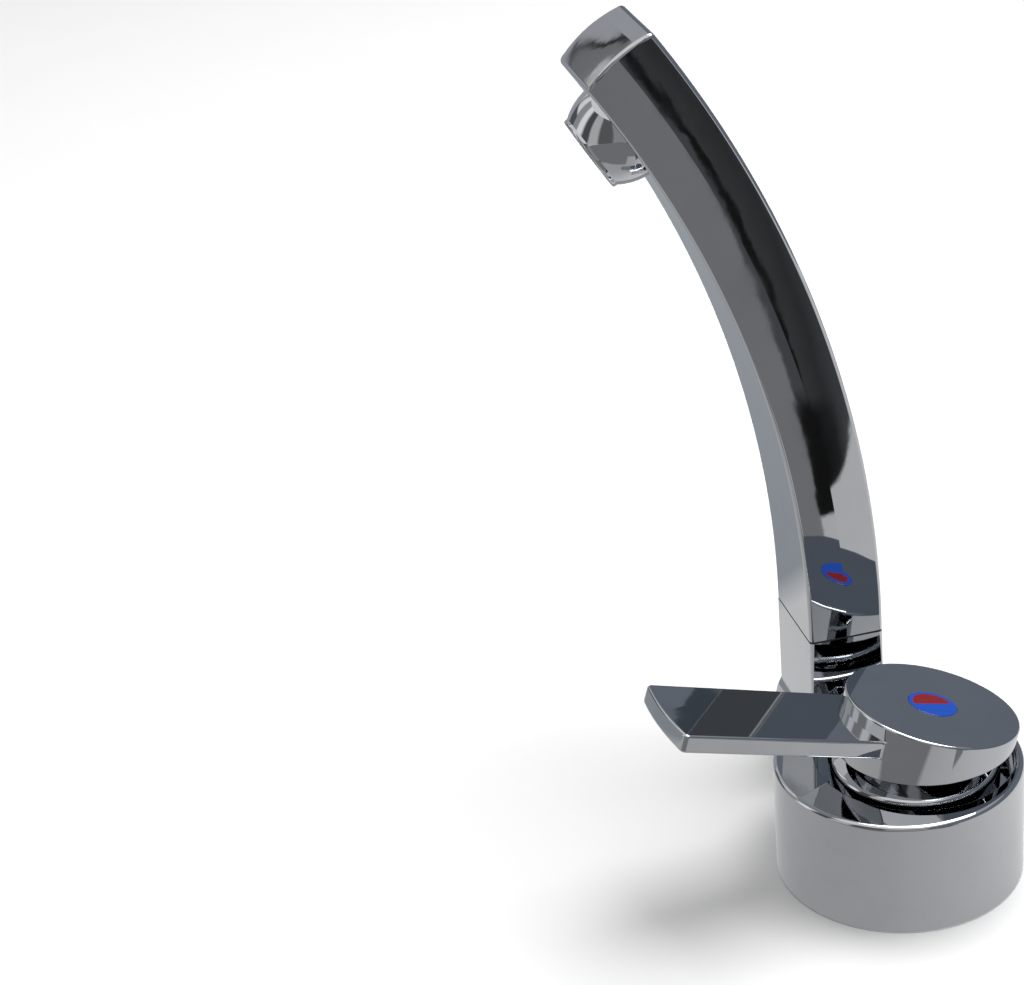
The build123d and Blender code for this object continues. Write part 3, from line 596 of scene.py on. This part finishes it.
def on_tip_corner(point):
    at_side = abs(abs(point.x) - tip_half) < 0.05
    return at_side and at_height(point, -blade_thick / 2) and point.y > 50


def on_blade_rim(point):
    """Whether a point lies on the upper or lower edge of the outline, clear of the head."""
    at_face = at_height(point, 0) or at_height(point, -blade_thick)
    return at_face and point.y > flare_y - 0.5


blade = wire([(u, w, 0) for u, w in outline])
choose(blade, "VERT", lambda point: True)
bpy.ops.mesh.edge_face_add()
bpy.ops.mesh.extrude_region_move(TRANSFORM_OT_translate={"value": (0, 0, -blade_thick * MM)})
leave()
choose(blade, "EDGE", on_tip_corner)
bpy.ops.mesh.bevel(offset=0.9 * MM, segments=5)
leave()
choose(blade, "EDGE", on_blade_rim)
bpy.ops.mesh.bevel(offset=0.55 * MM, segments=5)
leave()
tidy(blade)
place_on(blade, blade_frame)
print("blade", len(blade.data.polygons))

# %% Join the lever
def lever_bar(radius, foot, length, sides=96):
    """A bar along the lever's own axis, from a height above its pivot."""
    bar = round_bar(radius, (0, 0, foot), (0, 0, 1), length, sides)
    place_on(bar, lever_frame)
    return bar


socket_width = 7.1
socket_top = 10.05
lever = head
combine(lever, blade, "UNION")
combine(lever, lever_bar(16.2, -6.0, 18.5, sides=192), "DIFFERENCE")
combine(lever, lever_bar(6.6, 7.4, 6.0), "UNION")

# The screw's hole, the seat of its head and the button's seat, each by radius, foot and length
for radius, foot, length in ((2.1, 7.0, 9.0), (3.5, 11.6, 5.0), (5.05, 14.3, 3.0)):
    combine(lever, lever_bar(radius, foot, length), "DIFFERENCE")
bpy.ops.object.select_all(action="DESELECT")
socket_middle = (0, 0, (socket_top - socket_width / 2) * MM)
bpy.ops.mesh.primitive_cube_add(size=socket_width * MM, location=socket_middle)
socket = bpy.context.object
place_on(socket, lever_frame)
combine(lever, socket, "DIFFERENCE")
finish_skin(lever, "lever_skin", chrome, "lever", "lever")

# %% [markdown]
# ## The knuckle
# The spout stands on a casting that is a round barrel below and a square foot above. Its outline
# is one closed line: the foot's sides, a small hollow fillet at each, and three quarters of a
# circle. It is filled, extruded across, and its outer edges are beveled. The turned spigot that
# holds it in the base is spun on its own and joined.

# %% Knuckle block
barrel = 9.5
hollow = 1.6
half_depth = 8.0
knuckle_top = 36.6
knuckle_inside = 28.7
knuckle_width = 21.8
spout_middle = 39.6
fillet_rise = sqrt((barrel + hollow) ** 2 - (half_depth + hollow) ** 2)
fillet_middle = (half_depth + hollow, pivot_height + fillet_rise)
meet = degrees(atan2(fillet_rise, half_depth + hollow))
fillet = arc_points(fillet_middle, hollow, 180, 180 + meet, 6)
right_side = [(half_depth, knuckle_top), *fillet]
belly = arc_points((0, pivot_height), barrel, meet, -90, 32)
half = right_side + belly[1:]
knuckle_outline = half + [(-u, w) for u, w in reversed(half[:-1])]


def on_outer_edge(point):
    """Whether a point lies on the outer side's outline, or on the foot's edges at the inner side."""
    outside = point.x > knuckle_inside + knuckle_width - 0.05
    foot_inside = point.x < knuckle_inside + 0.05 and point.z > 18
    return point.z < knuckle_top - 0.1 and (outside or foot_inside)


knuckle = wire([(knuckle_inside, u, w) for u, w in knuckle_outline])
choose(knuckle, "VERT", lambda point: True)
bpy.ops.mesh.edge_face_add()
bpy.ops.mesh.extrude_region_move(TRANSFORM_OT_translate={"value": (knuckle_width * MM, 0, 0)})
leave()
tidy(knuckle)
choose(knuckle, "EDGE", on_outer_edge)
bpy.ops.mesh.bevel(offset=0.8 * MM, segments=5)
leave()
print("knuckle block", len(knuckle.data.polygons))

# %% Spigot, and the passages
spigot_section = [
    (1.0, 15.2), (6.5, 15.2), (6.5, 15.8), (5.3, 15.8), (5.3, 17.3), (6.5, 17.3), (6.5, 17.6),
    (5.3, 17.6), (5.3, 19.1), (6.5, 19.1), (6.5, 19.7), (5.5, 19.7), (5.5, 21.1), (6.5, 21.1),
    (6.5, 22.1), (9.49, 22.1), (9.49, 30.0), (1.0, 30.0),
]
across = stand(Vector((0, 1, 0)), Vector((0, 0, 1)), Vector((1, 0, 0)), (0, 0, pivot_height))
spigot = turned(spigot_section, across, [((6.5, 15.2), 0.2)], steps=192)
combine(knuckle, spigot, "UNION")
drill(knuckle, 3.5, (14.0, 0, pivot_height), (1, 0, 0), 25.6, sides=64)
drill(knuckle, 4.0, (spout_middle, 0, pivot_height), (0, 0, 1), 30.0, sides=64)
drill(knuckle, 5.05, (spout_middle, 0, 31.6), (0, 0, 1), 10.0, sides=64)
screw_places = [(33.1, -5.4), (46.1, 5.4)]
for x_place, y_place in screw_places:
    drill(knuckle, 1.6, (x_place, y_place, 0), (0, 0, 1), 40.0, sides=48)
    drill(knuckle, 2.4, (x_place, y_place, -2.0), (0, 0, 1), 8.2, sides=64)
finish_skin(knuckle, "knuckle_skin", chrome, "spout", "knuckle")

# %% [markdown]
# ## The spout
# The spout is a hollow rectangular arc. Its broad faces are plain curves, but each flank carries a
# barely visible ridge along its middle, and that ridge splits every reflection in two. The section
# is spun about the arc's axis, the crowned end is cut, and then all long corners are beveled.

# %% Spout shell
arc_radius = 229.0
arc_degrees = 34.6
foot_height = 37.0
crown = 1.2
arc_step = 0.45
arc_steps = 79
flank_half = 10.75
flank_ridge = 0.19


def section(half_width, depth, ridge):
    """The corners of the spout's section on the foot, with a ridge on both flanks."""
    flank = spout_middle - half_width
    left = [(flank, -depth), (flank - ridge, 0), (flank, depth)]
    return left + [(2 * spout_middle - u, -w) for u, w in left]


def sweep_arc(corners, turn_degrees, steps):
    """Spin a filled section about the arc's axis and close both ends."""
    drawn = wire([(u, w, foot_height) for u, w in corners])
    spin_round(drawn, (0, arc_radius, foot_height), (1, 0, 0), steps, radians(turn_degrees))
    choose(drawn, "VERT", lambda point: True)
    bpy.ops.mesh.fill_holes(sides=0)
    leave()
    tidy(drawn)
    return drawn


spout = sweep_arc(section(flank_half, half_depth, flank_ridge), arc_steps * arc_step, arc_steps)
print("spout", [round(v / MM, 1) for v in spout.dimensions])

# %% Crowned end of the spout
arc_end = radians(arc_degrees)
crown_radius = (half_depth ** 2 + crown ** 2) / (2 * crown)
crown_turn = 19.2
end_ahead = Vector((0, sin(arc_end), cos(arc_end)))
end_out = Vector((0, -cos(arc_end), sin(arc_end)))
arc_centre = Vector((spout_middle, arc_radius, foot_height))
crown_centre = arc_centre + end_out * arc_radius - end_ahead * (crown_radius - crown)
crown_arc = arc_points((0, 0), crown_radius, -crown_turn, crown_turn, 9)
crown_line = [crown_centre + end_ahead * u + end_out * w for u, w in crown_arc]
far_corners = [crown_centre + end_ahead * 40 + end_out * side for side in (12, -12)]
waste = wire([Vector((20, point.y, point.z)) for point in crown_line + far_corners])
choose(waste, "VERT", lambda point: True)
bpy.ops.mesh.edge_face_add()
bpy.ops.mesh.extrude_region_move(TRANSFORM_OT_translate={"value": (40 * MM, 0, 0)})
leave()
tidy(waste)
combine(spout, waste, "DIFFERENCE")


def from_arc(point):
    """How far a point is from the arc's axis."""
    return (point.yz - arc_centre.yz).length


def on_corner(point):
    """Whether a point lies on a long corner, or on the edge of the crowned end."""
    at_flank = abs(point.x - spout_middle) > flank_half - 0.05
    at_face = abs(abs(from_arc(point) - arc_radius) - half_depth) < 0.05
    on_end = abs((point - crown_centre).yz.length - crown_radius) < 0.03
    return at_flank and at_face or on_end and (at_flank or at_face)


choose(spout, "EDGE", lambda point: point.z > foot_height + 0.1 and on_corner(point))
bpy.ops.mesh.bevel(offset=0.8 * MM, segments=5)
leave()
tidy(spout)
print("spout shell", len(spout.data.polygons))

# %% Hollow, bosses and outlet of the spout
early = 0.4
end_wall = 2.5
hollow_degrees = arc_degrees - degrees(end_wall / arc_radius) + early
inner = sweep_arc(section(8.9, 6.0, 0.0), hollow_degrees, 78)
turn_back = Matrix.Translation(arc_centre * MM) @ Matrix.Rotation(radians(early), 4, "X")
place_on(inner, turn_back @ Matrix.Translation(-arc_centre * MM))
combine(spout, inner, "DIFFERENCE")
for x_place, y_place in screw_places:
    combine(spout, round_bar(2.36, (x_place, y_place, 37.3), (0, 0, 1), 7.7, sides=48), "UNION")
    drill(spout, 1.55, (x_place, y_place, 30.0), (0, 0, 1), 13.1, sides=48)
outlet_turn = radians(30.8)
outlet_down = Vector((0, cos(outlet_turn), -sin(outlet_turn)))
outlet_foot = arc_centre + Vector((0, -cos(outlet_turn), sin(outlet_turn))) * arc_radius
drill(spout, 10.06, outlet_foot + outlet_down * 7.9, outlet_down, 3.0)
drill(spout, 6.2, outlet_foot, outlet_down, 12.0)

# Smooth shading would hide so low a ridge, so its line is marked sharp
ridge_line = flank_half + flank_ridge
choose(spout, "EDGE", lambda point: abs(abs(point.x - spout_middle) - ridge_line) < 0.004)
bpy.ops.mesh.mark_sharp()
leave()
finish_skin(spout, "spout_skin", chrome, "spout", "spout")

# %% [markdown]
# ## The outlet
# Under the spout's end hangs the bell that holds the aerator. Its side is a shallow arc that draws
# in towards the rim. It is spun like the ring, then stood on the spout's inner face.

# %% Bell of the outlet
def arc_through(first, middle, last, steps):
    """Points along the circle through three points."""
    a, b, c = (Vector(point) for point in (first, middle, last))
    twice_area = 2 * (a.x * (b.y - c.y) + b.x * (c.y - a.y) + c.x * (a.y - b.y))
    weights = ((a.length_squared, b - c), (b.length_squared, c - a), (c.length_squared, a - b))
    centre_x = sum(square * side.y for square, side in weights) / twice_area
    centre_y = -sum(square * side.x for square, side in weights) / twice_area
    start = degrees(atan2(a.y - centre_y, a.x - centre_x))
    end = degrees(atan2(c.y - centre_y, c.x - centre_x))
    radius = sqrt((a.x - centre_x) ** 2 + (a.y - centre_y) ** 2)
    return arc_points((centre_x, centre_y), radius, start, end, steps)


bell_side = arc_through((10.0, 8.35), (9.2, 11.4), (7.8, 14.0), 8)
bell_section = bell_side + [
    (7.8, 14.9), (6.6, 14.9), (6.6, 9.5), (4.2, 9.5), (4.2, 2.7), (6.0, 2.7), (6.0, 7.9), (10.0, 7.9),
]
outlet_place = stand(Vector((-1, 0, 0)), outlet_down.cross(Vector((-1, 0, 0))), outlet_down, outlet_foot)
bell = turned(bell_section, outlet_place, [((7.8, 14.9), 0.45), ((6.6, 14.9), 0.2)], steps=192)
finish_skin(bell, "aerator_bell", chrome, "spout", "aerator_housing")

# %% [markdown]
# ## The studio
# The floor is a plain pale worktop in a white room. What gives the chrome its drawing are the
# things round it: a tall screen that is slate grey on one side and pale on the other, a card with
# stripes that lies on the table, a ceiling and a soft lamp. The camera sees none of them. The cards
# show only as reflections, and the lamp also lights the worktop. The cards are not lit: each glows
# with colours that are painted reflections.

# %% Floor and room
def studio_object(name, material):
    """The active object as part of the studio, and not of the tap."""
    made = bpy.context.object
    made.name = name
    made.data.materials.append(material)
    return made


def only_mirrored(made):
    """Hide a studio card from everything but reflections."""
    made.visible_camera = False
    made.visible_diffuse = False
    made.visible_shadow = False
    made.visible_transmission = False


floor_material = bpy.data.materials.new("pale_floor")
shader = Shader(floor_material)
speckle = shader.noise(30.0, detail=3.0)
worktop = shader.mix(speckle, grey(0.88), grey(0.86))
shader.surface({"Base Color": worktop, "Roughness": 0.7, "Specular IOR Level": 0.0})
bpy.ops.object.select_all(action="DESELECT")
bpy.ops.mesh.primitive_plane_add(size=8.0)
studio_object("floor", floor_material)

world = bpy.data.worlds.new("room")
bpy.context.scene.world = world
shader = Shader(world)
rays = shader.node("ShaderNodeLightPath", output="Is Camera Ray")
glossy = Value(shader, rays.socket.node.outputs["Is Glossy Ray"])
through = Value(shader, rays.socket.node.outputs["Is Transmission Ray"])
seen = rays + glossy + through
room_light = 0.55
strength = room_light + (1 - room_light) * seen
background = shader.node("ShaderNodeBackground", inputs={"Color": grey(1.0), "Strength": strength})
shader.node("ShaderNodeOutputWorld", inputs={"Surface": background})
print("floor and room ready")


# %% A card's own glow
def card(name, colour, shader):
    """Stage the active object as a card of this colour, seen only by the metal."""
    glow = shader.node("ShaderNodeEmission", inputs={"Color": colour, "Strength": 1.0})
    shader.node("ShaderNodeOutputMaterial", inputs={"Surface": glow})
    made = studio_object(name, bpy.data.materials[name])
    only_mirrored(made)
    return made


def card_shader(name):
    """A new material for a card, with the card's own x, y and z as numbers."""
    shader = Shader(bpy.data.materials.new(name))
    split = shader.node("ShaderNodeSeparateXYZ", inputs=[shader.place()])
    outputs = split.socket.node.outputs
    return shader, [Value(shader, outputs[axis]) for axis in "XYZ"]


def stripes(shader, across, width, stops):
    """Colours laid side by side over a width in metres, by a number that is 0 in the middle."""
    along = shader.remap(across, -width / 2, width / 2)
    return shader.node("ShaderNodeValToRGB", {"stops": stops}, [along])


# %% [markdown]
# The screen is a tall ring round the tap, and like every card it glows with painted reflections. At
# the tap's back it is slate grey, which the disc mirrors, with one narrow upright dark strip for the
# lever's blade. Part of the blade mirrors the spout's inner face instead, and in it a low dark panel,
# which is why two tops that lie nearly level look so different. The side that the spout's end and its
# outlet mirror is paler, with light and dark panels. Across it runs a curve with a painted near-black
# line of shade, a grey band above it and a painted bright band above that, which the spout's end
# mirrors.

# %% Slate and dark strip
screen_radius = 1.1
screen_height = 1.1
shader, (x, y, z) = card_shader("slate_screen")
slate = (0.175, 0.200, 0.235, 1)
shade = (0.060, 0.073, 0.088, 1)
strip = stripes(shader, y + 0.54, 0.12, [
    (0.0, slate), (0.55, slate), (0.57, shade), (0.795, shade), (0.810, slate),
])
behind = shader.mix(shader.remap(x, 0.0, 0.1) * shader.remap(z, 0.325, 0.335), slate, strip)

# %% Panels of the pale side
pale = (0.43, 0.445, 0.47, 1)
angle = y.math("ARCTAN2", x)
panels = stripes(shader, angle - 1.6, 2.8, [
    (0.103, pale), (0.128, grey(1.0)), (0.190, grey(1.0)), (0.215, grey(0.40)), (0.315, grey(0.40)),
    (0.346, grey(1.1)), (0.409, grey(1.1)), (0.452, grey(0.10)), (0.533, grey(0.10)),
    (0.558, grey(0.60)), (0.652, grey(0.60)), (0.683, grey(0.14)), (0.832, grey(0.14)),
    (0.864, grey(0.35)),
])
low_panel = shader.remap(angle, 0.42, 0.46) * shader.remap(angle, 0.84, 0.80)
low_panel = shader.remap(z, 0.46, 0.42) * low_panel
panels = shader.mix(low_panel, panels, grey(0.115, 1.15))
# A curve across the pale side, with painted shade and a painted highlight along it for the spout's end
above_curve = z - (0.5647 + 0.4857 * y - 2.79 * (y * y))
curve_span = shader.remap(y, 0.1272, 0.1282) * shader.remap(y, 0.44, 0.42) * shader.remap(x, 0.5, 0.6)
lower = shader.mix(shader.remap(above_curve, 0.0, 0.0006) * curve_span, panels, grey(0.215, 1.03))
# Past a second line the pale side is painted bright: a painted highlight band
above_bright_band = above_curve - 0.0110 - 0.110 * (y - 0.13)
with_painted_highlight = shader.mix(shader.remap(above_bright_band, 0.0, 0.0015) * curve_span, lower, grey(0.64))
# A painted near-black line of shade along the curve
crease = shader.remap(above_curve.math("ABSOLUTE"), 0.0050, 0.0036) * curve_span
pale_side = shader.mix(crease, with_painted_highlight, grey(0.02))

# %% Slate screen
bpy.ops.object.select_all(action="DESELECT")
bpy.ops.mesh.primitive_cylinder_add(
    vertices=96, radius=screen_radius, depth=screen_height, end_fill_type="NOTHING",
    location=(0, 0, screen_height / 2),
)
bpy.ops.object.transform_apply(location=True)
screen = card("slate_screen", shader.mix(shader.remap(y, -0.12, -0.02), behind, pale_side), shader)

# %% [markdown]
# What lies on the table is drawn as one glowing card, and its colours are painted reflections. Close
# to the tap it is a soft grey, paler on the side away from the lever's blade. Beyond 11 cm on the
# spout's side of the base it is blue-grey. On the camera's side it is painted dark, with long stripes:
# a grey one, a dark one and a thin black one, which widen with distance and which the spout's flanks
# mirror. The dark part's edge nearest the tap is cut on a curve, and that draws the pointed bright
# patch on the spout's foot.

# %% Table card
table_height = 0.0004
shader, (x, y, _) = card_shader("table_card")
outward = shader.node("ShaderNodeVectorMath", {"operation": "NORMALIZE"}, [shader.place()])
darker_side = (-0.53, 0.848, 0.0)
dot_product = {"operation": "DOT_PRODUCT"}
facing = shader.node("ShaderNodeVectorMath", dot_product, [outward, darker_side], output=1)
near_tap = shader.mix(shader.remap(facing, -1.0, 1.0), grey(0.84), grey(0.47))
blue_side = shader.mix(shader.remap(x, 0.104, 0.118), near_tap, (0.340, 0.365, 0.390, 1))

# %% Stripes of the dark part, painted reflections
first_bend = x + 0.104
stripe_edge = y + 0.031 - 0.160 * first_bend - 0.291 * (first_bend * (x + 0.240))
across = stripe_edge / (0.00394 - 0.048 * x)
far = shader.remap(x, -0.165, -0.150, 1.0, 0.0)
inner_dark = shader.mix(far, grey(0.010), grey(0.080, 1.1))
inner = shader.mix(shader.remap(across, -0.04, 0.04), inner_dark, grey(0.238, 1.04))
outer_far = stripes(shader, across - x - 0.2 + 2.5, 3.0, [
    (0.00, grey(0.090, 1.1)), (0.33, grey(0.060, 1.1)), (0.46, grey(0.036, 1.1)),
    (0.58, grey(0.050, 1.1)), (0.62, grey(0.055, 1.1)), (0.645, grey(0.010)), (0.695, grey(0.010)),
    (0.72, grey(0.080, 1.1)),
])
outer_near = stripes(shader, across + 2.5, 3.0, [
    (0.0, grey(0.080, 1.1)), (0.33, grey(0.060, 1.1)), (0.45, grey(0.022, 1.1)), (0.62, grey(0.010)),
])
outer = shader.mix(far, outer_near, outer_far)
# The stripes are painted reflections, which the spout's flanks mirror lengthwise
painted_stripes = shader.mix(shader.remap(across, -1.05, -0.95), outer, inner)

# %% Edge of the dark part
cut_x = (y + 0.031) * 0.79 - 21.9 * ((y + 0.031) * (y + 0.0525)) - 0.090
bare = shader.remap(x - cut_x, -0.0005, 0.0015)
past_dark = shader.remap(across, -0.04, 0.04)
past_grey = shader.remap(across, 1.4, 1.5)
dark_part = (1 - bare) * (1 - past_dark)
grey_part = shader.remap(x, -0.074, -0.077) * past_dark * (1 - past_grey)
side_part = shader.remap(y, 0.035, 0.045) * shader.remap(x, -0.050, -0.060)
last_part = side_part.math("MAXIMUM", shader.remap(x, -0.120, -0.140)) * past_grey
striped_part = dark_part + grey_part + last_part
bpy.ops.object.select_all(action="DESELECT")
bpy.ops.mesh.primitive_plane_add(size=1.0, location=(-0.1, 0, table_height))
bpy.ops.transform.resize(value=(2.4, 1.8, 1.0))
bpy.ops.object.transform_apply(location=True, scale=True)
table = card("table_card", shader.mix(striped_part, blue_side, painted_stripes), shader)
print("cards", screen.name, table.name)

# %% [markdown]
# Metal that mirrors an even white sky would vanish against the worktop from above. So a wide
# ceiling card hangs over the lamp. It is bright over the tap and grey on the side that the leaning
# disc is turned to. Straight from above, though, the disc mirrors the lamp itself and stays white.

# %% Ceiling
ceiling_height = 1.35
shader, (_, y, _) = card_shader("ceiling")
falloff = shader.remap(y, -0.25, -0.65)
bpy.ops.object.select_all(action="DESELECT")
bpy.ops.mesh.primitive_plane_add(size=3.2, location=(0, 0, ceiling_height))
bpy.ops.object.transform_apply(location=True)
ceiling = card("ceiling", shader.mix(falloff, grey(0.95), grey(0.45, 1.04)), shader)
print("ceiling", ceiling.name)

# %% Soft lamp
lamp_data = bpy.data.lights.new("soft_lamp", "AREA")
lamp_data.shape = "RECTANGLE"
lamp_data.size = 0.9
lamp_data.size_y = 0.7
lamp_data.energy = 14.0
lamp = bpy.data.objects.new("soft_lamp", lamp_data)
lamp.location = (0.1, -0.3, 1.2)
lamp.rotation_mode = "QUATERNION"
lamp.rotation_quaternion = (-lamp.location).to_track_quat("-Z", "Y")
lamp.visible_camera = False
bpy.context.scene.collection.objects.link(lamp)
print("lamp", lamp_data.energy, "W")

# %% Finish
bpy.context.scene.view_settings.view_transform = "Standard"
